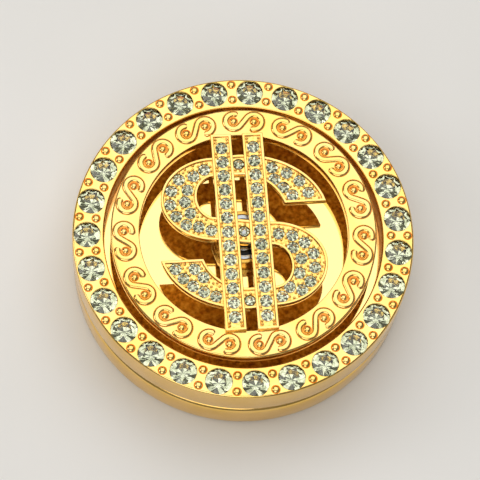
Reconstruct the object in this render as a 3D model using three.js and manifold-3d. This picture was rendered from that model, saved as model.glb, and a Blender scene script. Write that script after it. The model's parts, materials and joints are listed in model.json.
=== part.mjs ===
// A spinner ball marker: a thick two-tier disc of gold-plated brass, with a ring of crystals round its face
// and a stone-set dollar sign that spins on a small ball bearing over a mirror-polished plate.
// Millimetres, +Z up. The origin is the centre of the underside, the dollar stands upright along +Y,
// and everything that spins turns about Z.
import * as THREE from "three";
import Module from "manifold-3d";
import { mergeVertices } from "three/addons/utils/BufferGeometryUtils.js";

const wasm = await Module();
wasm.setup();

// ---- Driving dimensions -------------------------------------------------------------------------

// The two tiers of the body.
const markerDiameter = 50; // the bezel, which is the widest piece
const baseInset = 0.3; // how much smaller the base's radius is than the bezel's
const baseHeight = 5.6;
const grooveHeight = 1.5; // the dark groove between the two tiers
const grooveDepth = 1.1;
const edgeRound = 1.0; // rounding of the tiers' edges beside the groove
const baseWall = 1.6;
const baseFloor = 1.6;

// The bezel housing: a shallow well whose rim carries the stones.
const wellDepth = 3.7; // from the rim down to the mirror plate
const plateThickness = 0.8;
const housingFloor = 1.2;
const rimChamfer = 0.25;
const plateGap = 0.1;

// The stones round the rim, pointed-back chatons of a standard size.
const stoneCount = 27;
const stoneDiameter = 3.9;
const stoneOuterMargin = 0.22; // metal outside a stone
const stoneInnerMargin = 0.5; // metal between a stone and the well
const stoneClearance = 0.04;
const stoneSeatDepth = 0.45;
const stoneCrown = 0.6;
const stonePavilion = 1.5;

// The spinner: an ornamented ring with the dollar sign lapped across it.
const spinnerGap = 0.95; // round the ring, inside the well
const ringWidth = 4.15;
const ringThickness = 1.8;
const ringProud = 1.4; // how far the ring stands above the rim
const ringChamfer = 0.2;
const barWidth = 3.07;
const barSpacing = 4.68; // between the two bars' centre lines
const barLap = 0.05; // bar length beyond the ring's inner edge
const barProud = 0.6; // above the ring
const letterDrop = 0.2; // how much lower the letter's face is than the bars'
const letterClearance = 2.25; // between the letter's corners and the ring
const dollarThickness = 1.4;
const borderWidth = 0.42; // the raised edge round each stone-set panel
const panelDepth = 0.3;
const lapClearance = 0.04;

// The miniature deep-groove bearing, 3 x 7 x 3.
const bearingBore = 3.0;
const bearingOuter = 7.0;
const bearingWidth = 3.0;
const ballDiameter = 1.0;
const ballCount = 7;
const ballClearance = 0.03;
const landShare = 0.72; // how far a race's land reaches round the balls, in ball radii
const shieldThickness = 0.15;
const shieldSetback = 0.1;
const shieldGap = 0.06;
const cageThickness = 0.24;
const cageHeight = 1.5;

// What holds the bearing and the spinner.
const bearingFit = 0.02;
const cupWall = 0.6;
const cupLedge = 1.2; // the shoulder under the outer race
const cupLip = [0.5, 0.3]; // reach and thickness of the flange that holds the plate down
const cupSpigotRadius = 3.2;
const cupSpigotClearance = 0.06;
const cupNutThickness = 0.9;
const cupNutWall = 1.4;
const spindleClearance = 0.02;
const spindleGrip = 0.5; // how far the spindle enters the dollar sign
const shimThickness = 0.25;
const hubWall = 0.45;
const washerThickness = 0.3;
const spindleScrewRadius = 0.8;
const spindleScrewLength = 2.2;
const spindleScrewHead = [1.45, 0.9]; // radius, height

// The base's fastenings and the magnet that holds the marker to a clip.
const baseScrewCount = 4;
const baseScrewRadius = 0.95;
const baseScrewHead = [1.9, 0.8]; // radius, height
const baseScrewReach = 3.6; // thread in the housing's boss
const bossWall = 1.05;
const bossGap = 2.5; // between a boss and the base's wall
const holeClearance = 0.06;
const headClearance = 0.15;
const magnetRadius = 5;
const magnetThickness = 1.5;
const magnetRecess = 0.08; // below the underside
const magnetClearance = 0.1;
const magnetShell = 1.0; // metal round and over the magnet
const driveSlot = [0.4, 0.35]; // a screw slot's width and depth

// ---- Worked-out sizes ---------------------------------------------------------------------------

const bezelRadius = markerDiameter / 2;
const baseRadius = bezelRadius - baseInset;
const registerRadius = baseRadius - grooveDepth;
const cavityRadius = registerRadius - baseWall;
const housingBottom = baseHeight + grooveHeight;
const plateBottom = housingBottom + housingFloor;
const plateTop = plateBottom + plateThickness;
const rimTop = plateTop + wellDepth;

const stoneRadius = stoneDiameter / 2;
const stoneCircle = bezelRadius - stoneOuterMargin - stoneRadius;
const wellRadius = stoneCircle - stoneRadius - stoneInnerMargin;

const ringOuter = wellRadius - spinnerGap;
const ringInner = ringOuter - ringWidth;
const ringTop = rimTop + ringProud;
const ringBottom = ringTop - ringThickness;
const barTop = ringTop + barProud;
const dollarBottom = barTop - dollarThickness;
const letterTop = barTop - letterDrop;
const barHalf = ringInner + barLap;

const bearingBottom = plateTop;
const bearingTop = bearingBottom + bearingWidth;
const bearingMiddle = bearingBottom + bearingWidth / 2;
const boreRadius = bearingBore / 2;
const outerRadius = bearingOuter / 2;
const pitchRadius = (boreRadius + outerRadius) / 2;
const ballRadius = ballDiameter / 2;
const landReach = landShare * ballRadius;
const innerLand = pitchRadius - landReach;
const outerLand = pitchRadius + landReach;

const cupBore = outerRadius + bearingFit;
const cupHole = outerRadius - cupLedge;
const cupOuter = cupBore + cupWall;
const cupBottom = housingBottom - cupNutThickness;
const spigotRadius = Math.min(cupSpigotRadius, cupOuter - 0.5 * cupWall);
const spindleRadius = boreRadius - spindleClearance;
const hubRadius = boreRadius + hubWall;
const hubBottom = bearingTop + shimThickness;
const spindleTop = dollarBottom + spindleGrip;

const bossRadius = baseScrewRadius + bossWall;
const screwCircle = cavityRadius - bossRadius - bossGap;
const bossBottom = baseFloor + 2 * holeClearance;

// Facets round a full turn, by size.
const LARGE = 60;
const MEDIUM = 32;
const SMALL = 16;

// ---- Tools --------------------------------------------------------------------------------------

// A closed three.js geometry as a solid that can be cut and joined.
function solid(geometry) {
  const plain = geometry.index ? geometry.toNonIndexed() : geometry;
  plain.deleteAttribute("normal");
  plain.deleteAttribute("uv");
  const merged = mergeVertices(plain, 1e-4);
  return new wasm.Manifold(
    new wasm.Mesh({
      numProp: 3,
      vertProperties: merged.attributes.position.array,
      triVerts: new Uint32Array(merged.index.array),
    }),
  );
}

// A solid back as a geometry with flat faces.
function geometryOf(made) {
  const mesh = made.getMesh();
  const geometry = new THREE.BufferGeometry();
  geometry.setAttribute("position", new THREE.BufferAttribute(new Float32Array(mesh.vertProperties), 3));
  geometry.setIndex(new THREE.BufferAttribute(new Uint32Array(mesh.triVerts), 1));
  const flat = geometry.toNonIndexed();
  flat.computeVertexNormals();
  return flat;
}

// A profile of [radius, height] points, walked anticlockwise, spun about Z.
function spun(profile, facets) {
  const points = [...profile, profile[0]].map(([r, z]) => new THREE.Vector2(r, z));
  return solid(new THREE.LatheGeometry(points, facets).rotateX(Math.PI / 2));
}

// A tube from z0 up to z1, or a full disc when inner is 0.
function tube(outer, inner, z0, z1, facets = MEDIUM) {
  const corners = [
    [inner, z0],
    [outer, z0],
    [outer, z1],
    [inner, z1],
  ];
  return spun(corners, facets);
}

// A quarter round between two directions, as profile points about a centre.
function round(r, z, radius, from, to, steps = 3) {
  return Array.from({ length: steps + 1 }, (_, i) => {
    const angle = THREE.MathUtils.degToRad(from + ((to - from) * i) / steps);
    return [r + radius * Math.cos(angle), z + radius * Math.sin(angle)];
  });
}

// A flat outline raised from z0 to z1.
function raised(shape, z0, z1, curveSegments = 6) {
  const options = { depth: z1 - z0, bevelEnabled: false, curveSegments };
  return solid(new THREE.ExtrudeGeometry(shape, options).translate(0, 0, z0));
}

function rectangle(x, y, width, height) {
  const shape = new THREE.Shape();
  shape.moveTo(x - width / 2, y - height / 2);
  shape.lineTo(x + width / 2, y - height / 2);
  shape.lineTo(x + width / 2, y + height / 2);
  shape.lineTo(x - width / 2, y + height / 2);
  shape.closePath();
  return shape;
}

// The angles, in radians from +Y, of count things evenly spaced round Z, starting half a step from +Y.
function angles(count) {
  return Array.from({ length: count }, (_, i) => ((i + 0.5) * 2 * Math.PI) / count);
}

function onCircle(radius, angle) {
  return [radius * Math.sin(angle), radius * Math.cos(angle)];
}

// The same tool solid at each of several angles round Z.
function aroundZ(made, radius, count) {
  return angles(count).map((angle) => made.translate([...onCircle(radius, angle), 0]));
}

function joined(solids) {
  return solids.reduce((sum, next) => sum.add(next));
}

const marker = new THREE.Group();

function addPart(name, made, material, place = [0, 0, 0]) {
  const mesh = new THREE.Mesh(geometryOf(made), material);
  mesh.name = name;
  mesh.position.set(...place);
  marker.add(mesh);
  return mesh;
}

// ---- Materials ----------------------------------------------------------------------------------

function paint(color, roughness, metalness) {
  return new THREE.MeshStandardMaterial({ color, roughness, metalness });
}

const goldPlate = paint(0xe8b64a, 0.22, 1);
const mirrorGold = paint(0xf0c560, 0.06, 1);
const bearingSteel = paint(0xb9bcc0, 0.25, 1);
const brassTurned = paint(0xc9a24a, 0.35, 1);
const screwSteel = paint(0x9a9da1, 0.4, 1);
const magnetNickel = paint(0xa8abad, 0.3, 1);
const crystal = paint(0xdfe8e4, 0.02, 0.1);

// ---- The body -----------------------------------------------------------------------------------

// The lower tier: a round tray whose upper wall, stepped in, forms the groove and carries the housing.
function baseShell() {
  const profile = [
    [0, 0],
    ...round(baseRadius - edgeRound, edgeRound, edgeRound, -90, 0),
    ...round(baseRadius - edgeRound, baseHeight - edgeRound, edgeRound, 0, 90),
    [registerRadius, baseHeight],
    [registerRadius, housingBottom],
    [cavityRadius, housingBottom],
    [cavityRadius, baseFloor],
    [0, baseFloor],
  ];
  const pocketTop = magnetRecess + magnetThickness + magnetClearance;
  const over = 1; // a cutting tool runs this far past the face that it opens
  const counterbore = baseScrewHead[1] + headClearance;
  const tray = spun(profile, LARGE)
    .add(tube(magnetRadius + magnetClearance + magnetShell, 0, baseFloor / 2, pocketTop + magnetShell))
    .subtract(tube(magnetRadius + magnetClearance, 0, -over, pocketTop));
  const headHole = tube(baseScrewHead[0] + headClearance, 0, -over, counterbore, SMALL);
  const shankHole = tube(baseScrewRadius + holeClearance, 0, 0, baseFloor + over, SMALL);
  return tray.subtract(joined(aroundZ(headHole.add(shankHole), screwCircle, baseScrewCount)));
}

// The upper tier: the well, the rim with its stone seats, and four screw bosses underneath.
function bezelHousing() {
  const spigotHole = spigotRadius + cupSpigotClearance;
  const profile = [
    [spigotHole, housingBottom],
    ...round(bezelRadius - edgeRound, housingBottom + edgeRound, edgeRound, -90, 0),
    [bezelRadius, rimTop - rimChamfer],
    [bezelRadius - rimChamfer, rimTop],
    [wellRadius + rimChamfer, rimTop],
    [wellRadius, rimTop - rimChamfer],
    [wellRadius, plateBottom],
    [spigotHole, plateBottom],
  ];
  const boss = tube(bossRadius, 0, bossBottom, housingBottom + housingFloor / 2, SMALL);
  const bosses = aroundZ(boss, screwCircle, baseScrewCount);
  const threadTop = bossBottom + baseScrewReach + holeClearance;
  const thread = tube(baseScrewRadius + holeClearance, 0, 0, threadTop, SMALL);
  const threads = aroundZ(thread, screwCircle, baseScrewCount);
  const seats = aroundZ(stoneSeat(), stoneCircle, stoneCount);
  return spun(profile, LARGE).add(joined(bosses)).subtract(joined([...threads, ...seats]));
}

// The hole for one chaton: a straight collar for its girdle, then a cone for its point.
function stoneSeat() {
  const radius = stoneRadius + stoneClearance;
  const collar = rimTop - stoneSeatDepth - stoneClearance;
  const profile = [
    [0, collar - stonePavilion - stoneClearance],
    [radius, collar],
    [radius, rimTop + 1],
    [0, rimTop + 1],
  ];
  return spun(profile, SMALL);
}

// A pointed-back stone: table, crown, girdle and pavilion, with its girdle's foot at height 0.
function rimStone() {
  const girdle = 0.25;
  const table = 0.56 * stoneRadius;
  const profile = [
    [0, -stonePavilion],
    [stoneRadius, 0],
    [stoneRadius, girdle],
    [table, stoneCrown],
    [0, stoneCrown],
  ];
  return spun(profile, SMALL / 2);
}

addPart("base_shell", baseShell(), goldPlate);
addPart("bezel_housing", bezelHousing(), goldPlate);
const plateHole = cupOuter + cupSpigotClearance;
addPart("mirror_plate", tube(wellRadius - plateGap, plateHole, plateBottom, plateTop, LARGE), mirrorGold);

angles(stoneCount).forEach((angle, i) => {
  const place = [...onCircle(stoneCircle, angle), rimTop - stoneSeatDepth];
  addPart(`rim_stone_${String(i + 1).padStart(2, "0")}`, rimStone(), crystal, place).rotation.z = -angle;
});

// ---- The bearing and its cup --------------------------------------------------------------------

// The turned cup that holds the outer race. It stands on the housing's floor in the plate's hole, its lip
// holds the plate down, and a nut clamps it from below.
function bearingCup() {
  const [lipReach, lipThickness] = cupLip;
  const profile = [
    [cupHole, cupBottom],
    [spigotRadius, cupBottom],
    [spigotRadius, plateBottom],
    [cupOuter, plateBottom],
    [cupOuter, plateTop],
    [cupOuter + lipReach, plateTop],
    [cupOuter + lipReach, plateTop + lipThickness],
    [cupOuter, plateTop + lipThickness],
    [cupOuter, bearingTop - rimChamfer],
    [cupOuter - rimChamfer, bearingTop],
    [cupBore, bearingTop],
    [cupBore, bearingBottom],
    [cupHole, bearingBottom],
  ];
  return spun(profile, MEDIUM);
}

// The trough that the balls run in, as an eight-sided ring to cut from a race. Its flats clear the balls.
function ballGroove() {
  const sides = 8;
  const step = 360 / sides;
  const reach = (ballRadius + ballClearance) / Math.cos(Math.PI / sides);
  return spun(round(pitchRadius, bearingMiddle, reach, 0, 360 - step, sides - 1), MEDIUM);
}

function ballCage() {
  const half = cageHeight / 2;
  const band = tube(
    pitchRadius + cageThickness / 2,
    pitchRadius - cageThickness / 2,
    bearingMiddle - half,
    bearingMiddle + half,
  );
  const sphere = new THREE.SphereGeometry(ballRadius + 2 * ballClearance, 12, 8);
  const pocket = solid(sphere.translate(0, 0, bearingMiddle));
  return band.subtract(joined(aroundZ(pocket, pitchRadius, ballCount)));
}

function shield(z) {
  return tube(outerLand - bearingFit, innerLand + shieldGap, z, z + shieldThickness);
}

addPart("bearing_cup", bearingCup(), brassTurned);
const nutRadius = spigotRadius + cupNutWall;
const hexNut = new THREE.CylinderGeometry(nutRadius, nutRadius, cupNutThickness, 6)
  .rotateX(Math.PI / 2)
  .translate(0, 0, cupBottom + cupNutThickness / 2);
const nutHole = tube(spigotRadius + cupSpigotClearance, 0, cupBottom - 1, housingBottom + 1);
addPart("cup_nut", solid(hexNut).subtract(nutHole), brassTurned);

function race(outer, inner) {
  return tube(outer, inner, bearingBottom, bearingTop).subtract(ballGroove());
}

addPart("bearing_outer_race", race(outerRadius, outerLand), bearingSteel);
addPart("bearing_inner_race", race(innerLand, boreRadius), bearingSteel);
addPart("bearing_cage", ballCage(), brassTurned);
addPart("bearing_shield_upper", shield(bearingTop - shieldSetback - shieldThickness), bearingSteel);
addPart("bearing_shield_lower", shield(bearingBottom + shieldSetback), bearingSteel);
angles(ballCount).forEach((angle, i) => {
  const ball = solid(new THREE.SphereGeometry(ballRadius, 10, 7));
  addPart(`bearing_ball_${i + 1}`, ball, bearingSteel, [...onCircle(pitchRadius, angle), bearingMiddle]);
});

// ---- The spinner --------------------------------------------------------------------------------

// One side of the letter's stroke, from its upper tip's outer corner to its lower tip's inner corner, drawn
// at the letter's own size with a tip-to-centre reach of LETTER_REACH. The other side is the same line
// turned half round, which sign does. An inset moves the line into the stroke.
const TIP = 4.07; // height of the level cut at the tips
const HOOK = { y: 2.0, outer: [12.75, 10.15], inner: [6.6, 6.9] };
const BOWL = { x: -3.87, y: 5.3, outer: [8.03, 6.55], inner: [2.7, 3.25], innerY: 5.6 };
const LETTER_REACH = Math.hypot(HOOK.outer[0] * Math.cos(Math.asin((TIP - HOOK.y) / HOOK.outer[1])), TIP);

function strokeSide(path, sign, scale, inset) {
  const turned = sign > 0 ? 0 : Math.PI;
  const arc = (x, y, [a, b], grow, from, to, clockwise) => {
    const centre = [sign * x * scale, sign * y * scale];
    path.absellipse(...centre, a * scale + grow, b * scale + grow, from, to, clockwise, turned);
  };
  const cut = (y, [, b], grow) => Math.asin(((TIP - y) * scale + inset) / (b * scale + grow));
  const outerTip = cut(HOOK.y, HOOK.outer, -inset);
  const innerTip = cut(HOOK.y, HOOK.inner, inset);
  arc(0, HOOK.y, HOOK.outer, -inset, outerTip, Math.PI / 2, false);
  arc(BOWL.x, BOWL.y, BOWL.outer, -inset, Math.PI / 2, 1.5 * Math.PI, false);
  arc(-BOWL.x, -BOWL.innerY, BOWL.inner, inset, Math.PI / 2, -Math.PI / 2, true);
  arc(0, -HOOK.y, HOOK.inner, inset, 1.5 * Math.PI, Math.PI + innerTip, true);
}

function letter(inset) {
  const scale = (ringInner - letterClearance) / LETTER_REACH;
  const shape = new THREE.Shape();
  strokeSide(shape, 1, scale, inset);
  strokeSide(shape, -1, scale, inset);
  shape.closePath();
  return shape;
}

const barsAt = [-barSpacing / 2, barSpacing / 2];

// The dollar sign: the letter and two bars as one casting, with stone-set panels sunk inside raised
// borders and a hub underneath for the spindle.
function dollarSign() {
  const bars = barsAt.map((x) => raised(rectangle(x, 0, barWidth, 2 * barHalf), dollarBottom, barTop));
  const body = joined([raised(letter(0), dollarBottom, letterTop), ...bars]);
  const inside = raised(letter(borderWidth), letterTop - panelDepth, barTop + 1);
  const letterPanel = inside.subtract(joined(bars));
  const panelWidth = barWidth - 2 * borderWidth;
  const panelHeight = 2 * (barHalf - borderWidth);
  const barPanel = raised(rectangle(0, 0, panelWidth, panelHeight), barTop - panelDepth, barTop + 1);
  const barPanels = barsAt.map((x) => barPanel.translate([x, 0, 0]));
  const hub = tube(hubRadius, 0, hubBottom, dollarBottom + spindleGrip / 2);
  const spindleHole = tube(boreRadius, 0, hubBottom - 1, spindleTop + holeClearance);
  return body.subtract(joined([letterPanel, ...barPanels])).add(hub).subtract(spindleHole);
}

// The ornamented ring, with a seat sunk in its inner edge under each end of each bar.
function spinnerRing() {
  const profile = [
    [ringInner, ringBottom],
    [ringOuter - ringChamfer, ringBottom],
    [ringOuter, ringBottom + ringChamfer],
    [ringOuter, ringTop - ringChamfer],
    [ringOuter - ringChamfer, ringTop],
    [ringInner, ringTop],
  ];
  const seatWidth = barWidth + 2 * lapClearance;
  const seatReach = 2 * (barHalf + lapClearance);
  const seat = raised(rectangle(0, 0, seatWidth, seatReach), dollarBottom - lapClearance, ringTop + 1);
  const seats = barsAt.map((x) => seat.translate([x, 0, 0]));
  return spun(profile, LARGE).subtract(joined(seats));
}

// A screw standing on its head's underside, slotted below, with its thread upwards from height 0.
function slottedScrew(radius, length, [headRadius, headHeight]) {
  const profile = [
    [0, -headHeight],
    [headRadius, -headHeight],
    [headRadius, 0],
    [radius, 0],
    [radius, length],
    [0, length],
  ];
  const [slotWidth, slotDepth] = driveSlot;
  const slot = rectangle(0, 0, 3 * headRadius, slotWidth);
  return spun(profile, SMALL).subtract(raised(slot, -headHeight - 1, slotDepth - headHeight));
}

// The steel spindle: pressed up into the hub, down through the inner race, tapped from below.
function spindle() {
  const tapped = spindleScrewRadius + spindleClearance;
  const rod = tube(spindleRadius, 0, bearingBottom, spindleTop);
  return rod.subtract(tube(tapped, 0, bearingBottom - 1, bearingBottom + spindleScrewLength, SMALL));
}

const washerBottom = bearingBottom - washerThickness;
addPart("spinner_ring", spinnerRing(), goldPlate);
addPart("dollar_sign", dollarSign(), goldPlate);
addPart("spindle", spindle(), bearingSteel);
const shim = tube(hubRadius, spindleRadius + spindleClearance, bearingTop, hubBottom);
addPart("hub_shim", shim, brassTurned);
const washer = tube(hubRadius, spindleScrewRadius + spindleClearance, washerBottom, bearingBottom);
addPart("spindle_washer", washer, screwSteel);
const threadLength = spindleScrewLength + washerThickness - 2 * holeClearance;
const spindleScrew = slottedScrew(spindleScrewRadius, threadLength, spindleScrewHead);
addPart("spindle_screw", spindleScrew, screwSteel, [0, 0, washerBottom]);

// ---- The base's fastenings ----------------------------------------------------------------------

addPart("clip_magnet", tube(magnetRadius, 0, magnetRecess, magnetRecess + magnetThickness), magnetNickel);
const headSeat = baseScrewHead[1] + headClearance;
const baseThread = bossBottom + baseScrewReach - headSeat;
angles(baseScrewCount).forEach((angle, i) => {
  const place = [...onCircle(screwCircle, angle), headSeat];
  const screw = slottedScrew(baseScrewRadius, baseThread, baseScrewHead);
  addPart(`base_screw_${i + 1}`, screw, screwSteel, place);
});

export default marker;
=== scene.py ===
# %% [markdown]
# # A spinner ball marker
# The real thing is a thick gold-plated disc with a ring of crystals round its face. Inside the ring an
# ornamented band carries a stone-set dollar sign, and both spin together on a little ball bearing over a
# mirror-polished plate. The engineering model of it comes in first, as a fixed frame. Its screws, magnet,
# balls and plate only need their finishes. The castings, the stones and the bearing's rings are modelled
# again here, with the fine work that a caster, a stone setter and a turner would put into them.

# %% Load the fixed frame
import json
import math

import bmesh
import bpy
from mathutils import Matrix, Vector


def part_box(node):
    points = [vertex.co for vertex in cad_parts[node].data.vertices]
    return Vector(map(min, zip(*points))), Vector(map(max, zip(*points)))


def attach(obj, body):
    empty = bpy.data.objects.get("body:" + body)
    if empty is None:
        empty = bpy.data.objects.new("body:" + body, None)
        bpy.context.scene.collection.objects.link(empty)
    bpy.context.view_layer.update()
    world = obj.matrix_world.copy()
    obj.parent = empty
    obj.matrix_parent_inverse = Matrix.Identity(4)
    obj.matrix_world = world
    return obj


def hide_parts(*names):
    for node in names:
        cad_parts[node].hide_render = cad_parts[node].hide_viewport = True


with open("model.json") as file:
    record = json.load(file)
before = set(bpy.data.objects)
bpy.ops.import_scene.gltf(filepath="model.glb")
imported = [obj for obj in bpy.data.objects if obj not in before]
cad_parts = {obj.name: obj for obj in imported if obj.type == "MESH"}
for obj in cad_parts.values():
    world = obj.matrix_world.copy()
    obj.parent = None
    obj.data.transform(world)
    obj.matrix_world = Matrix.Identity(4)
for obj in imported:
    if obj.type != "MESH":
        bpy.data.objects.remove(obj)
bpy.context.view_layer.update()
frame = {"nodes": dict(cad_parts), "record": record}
scene = bpy.context.scene

# %% [markdown]
# ## Sizes
# Everything is in metres, because the frame is, so a size in millimetres is written as a number times MM.
# Heights and radii are read from the frame's own pieces, which keeps each new piece on its neighbours.

# %% Read the main sizes
MM = 0.001

BEZEL_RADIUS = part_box("bezel_housing")[1].x
RIM_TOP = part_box("bezel_housing")[1].z
BASE_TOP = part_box("base_shell")[1].z
PLATE_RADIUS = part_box("mirror_plate")[1].x
PLATE_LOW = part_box("mirror_plate")[0].z
PLATE_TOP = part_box("mirror_plate")[1].z
RING_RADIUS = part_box("spinner_ring")[1].x
RING_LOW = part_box("spinner_ring")[0].z
RING_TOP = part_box("spinner_ring")[1].z
BAR_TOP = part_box("dollar_sign")[1].z
BAR_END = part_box("dollar_sign")[1].y
print("rim: radius", round(BEZEL_RADIUS / MM, 2), "mm, top at", round(RIM_TOP / MM, 2))
print("ring: radius", round(RING_RADIUS / MM, 2), "mm, top at", round(RING_TOP / MM, 2))
print("bars: end at", round(BAR_END / MM, 2), "mm, top at", round(BAR_TOP / MM, 2))

# %% [markdown]
# ## Tools for working by hand
# These few helpers do what hands do in the viewport. One clears the selection, one works in edit mode, one
# applies a modifier, and one copies a finished piece to a new place with a mesh of its own.


# %% Selection, edit mode and modifiers
def clear_selection():
    bpy.ops.object.select_all(action="DESELECT")


def only(piece):
    clear_selection()
    piece.select_set(True)
    bpy.context.view_layer.objects.active = piece
    return piece


def new_piece(name):
    """The primitive that was just added, with its place moved into its mesh."""
    piece = bpy.context.object
    piece.name = piece.data.name = name
    bpy.ops.object.transform_apply(location=True, rotation=True, scale=True)
    return piece


def select_faces(rule):
    """In edit mode, selects only the faces that the rule accepts."""
    bpy.ops.mesh.select_mode(type="FACE")
    bpy.ops.mesh.select_all(action="DESELECT")
    mesh = bpy.context.object.data
    work = bmesh.from_edit_mesh(mesh)
    for face in work.faces:
        face.select = rule(face)
    work.select_flush(True)
    bmesh.update_edit_mesh(mesh)


def modify(piece, kind, **settings):
    only(piece)
    modifier = piece.modifiers.new(kind.title(), kind)
    for key, value in settings.items():
        setattr(modifier, key, value)
    bpy.ops.object.modifier_apply(modifier=modifier.name)


def copy_to(piece, name, place):
    """A copy with its own mesh, moved by the matrix."""
    copy = piece.copy()
    copy.data = piece.data.copy()
    copy.name = copy.data.name = name
    copy.data.transform(place)
    bpy.context.collection.objects.link(copy)
    return copy


def join(pieces, name):
    only(pieces[0])
    for piece in pieces[1:]:
        piece.select_set(True)
    bpy.ops.object.join()
    pieces[0].name = pieces[0].data.name = name
    return pieces[0]


def wear(piece, *finishes):
    """Gives the piece these finishes and no others."""
    piece.data.materials.clear()
    for finish in finishes:
        piece.data.materials.append(finish)


def clean(piece):
    """Welds the slivers that a boolean leaves along its cuts."""
    only(piece)
    bpy.ops.object.mode_set(mode="EDIT")
    bpy.ops.mesh.select_all(action="SELECT")
    bpy.ops.mesh.dissolve_degenerate(threshold=0.002 * MM)
    bpy.ops.object.mode_set(mode="OBJECT")


def cut(piece, tools, **settings):
    """Takes the joined tools away from the piece, as drills and burrs would."""
    modify(piece, "BOOLEAN", object=tools, operation="DIFFERENCE", solver="EXACT", **settings)
    bpy.data.objects.remove(tools)
    clean(piece)


def carve(piece, tools, finish):
    """Cuts with tools that stand clear of each other, and leaves their finish on the cut."""
    cutter = join(tools, "cutter")
    wear(cutter, finish)
    cut(piece, cutter, material_mode="TRANSFER")


def smooth(piece, degrees=30):
    """Shades smooth, and keeps edges sharper than this crisp."""
    only(piece)
    bpy.ops.object.shade_smooth_by_angle(angle=math.radians(degrees))


# %% [markdown]
# ## Turning on the lathe
# Most of this object is round. A turned piece starts as one vertex, which is extruded from corner to corner
# into half of a section and spun once round the Z axis. Corners can be given a radius, because a polished
# casting has no sharp edge: each one is where the light catches.


# %% Profiles and the lathe
def rounded(corners, steps=5):
    """Corners as (radius, height, rounding), walked anticlockwise, with each rounding drawn as an arc."""
    points = []
    for i, (r, z, size) in enumerate(corners):
        corner = Vector((r, z))
        if not size:
            points.append(corner)
            continue
        before = (Vector(corners[i - 1][:2]) - corner).normalized()
        after = (Vector(corners[(i + 1) % len(corners)][:2]) - corner).normalized()
        half = before.angle(after) / 2
        reach = size / math.tan(half)
        centre = corner + (before + after).normalized() * size / math.sin(half)
        start = corner + before * reach - centre
        end = corner + after * reach - centre
        sweep = start.angle_signed(end)
        for k in range(steps + 1):
            turn = Matrix.Rotation(-sweep * k / steps, 2)
            points.append(centre + turn @ start)
    return points


def turned(name, corners, steps=216, centre=(0, 0)):
    """A solid of revolution, about an upright axis through centre."""
    points = rounded(corners)
    clear_selection()
    x, y = centre
    place = (x + points[0].x, y, points[0].y)
    bpy.ops.mesh.primitive_plane_add(size=MM, location=place)
    piece = new_piece(name)
    bpy.ops.object.mode_set(mode="EDIT")
    bpy.ops.mesh.select_mode(type="VERT")
    bpy.ops.mesh.select_all(action="SELECT")
    bpy.ops.mesh.merge(type="CENTER")
    for a, b in zip(points, points[1:]):
        step = (b.x - a.x, 0, b.y - a.y)
        bpy.ops.mesh.extrude_region_move(TRANSFORM_OT_translate={"value": step})
    if points[0].x > 0 and points[-1].x > 0:
        bpy.ops.mesh.select_all(action="SELECT")
        work = bmesh.from_edit_mesh(piece.data)
        ends = [v for v in work.verts if len(v.link_edges) == 1]
        for vert in work.verts:
            vert.select = vert in ends
        work.select_flush_mode()
        bpy.ops.mesh.edge_face_add()
    bpy.ops.mesh.select_all(action="SELECT")
    bpy.ops.mesh.spin(steps=steps, angle=2 * math.pi, center=(x, y, 0), axis=(0, 0, 1))
    bpy.ops.mesh.select_all(action="SELECT")
    bpy.ops.mesh.remove_doubles(threshold=0.001 * MM)
    bpy.ops.mesh.normals_make_consistent(inside=False)
    bpy.ops.object.mode_set(mode="OBJECT")
    return piece


def around(radius, turn):
    """A place on a circle round Z, turn radians clockwise from +Y, facing outwards."""
    return Matrix.Rotation(-turn, 4, "Z") @ Matrix.Translation((0, radius, 0))


# %% [markdown]
# ## Finishes
# Colours are given as sRGB hex, as a paint chart gives them, and one function turns them to the linear values
# that a shader wants. One more function adds any node with its settings and links. Metals keep Blender's
# default IOR: their colour says it all.


# %% Material helpers
def linear(code):
    channels = [int(code[i : i + 2], 16) / 255 for i in (1, 3, 5)]
    return [c / 12.92 if c <= 0.04045 else ((c + 0.055) / 1.055) ** 2.4 for c in channels] + [1.0]


def node(tree, kind, output, inputs=None, stops=(), **settings):
    """Adds a node and returns one output. An input that is a socket is linked, and any other is set."""
    made = tree.nodes.new(kind)
    for key, value in settings.items():
        setattr(made, key, value)
    for key, value in (inputs or {}).items():
        if isinstance(value, bpy.types.NodeSocket):
            tree.links.new(value, made.inputs[key])
        else:
            made.inputs[key].default_value = value
    if stops:
        elements = made.color_ramp.elements
        for k, (position, code) in ((0, stops[0]), (1, stops[-1])):
            elements[k].position, elements[k].color = position, linear(code)
        for position, code in stops[1:-1]:
            elements.new(position).color = linear(code)
    return made.outputs[output]


def new_material(name, **settings):
    """A material, its tree and its Principled shader, with the settings on the shader's own sockets."""
    material = bpy.data.materials.new(name)
    material.use_nodes = True
    shader = material.node_tree.nodes["Principled BSDF"]
    for key, value in settings.items():
        shader.inputs[key.replace("_", " ")].default_value = value
    return material, material.node_tree, shader


def connect(tree, shader, **sockets):
    """Links patterns to the shader's inputs of the same names."""
    for key, socket in sockets.items():
        tree.links.new(socket, shader.inputs[key.replace("_", " ")])


# %% [markdown]
# Electroplated gold over a polished casting is never a perfect mirror. The casting's skin has a slight swell
# that makes reflections wobble, the buffing wheel leaves it a little hazier in places, and the colour shifts
# between lemon and orange with the plate's thickness.


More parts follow.
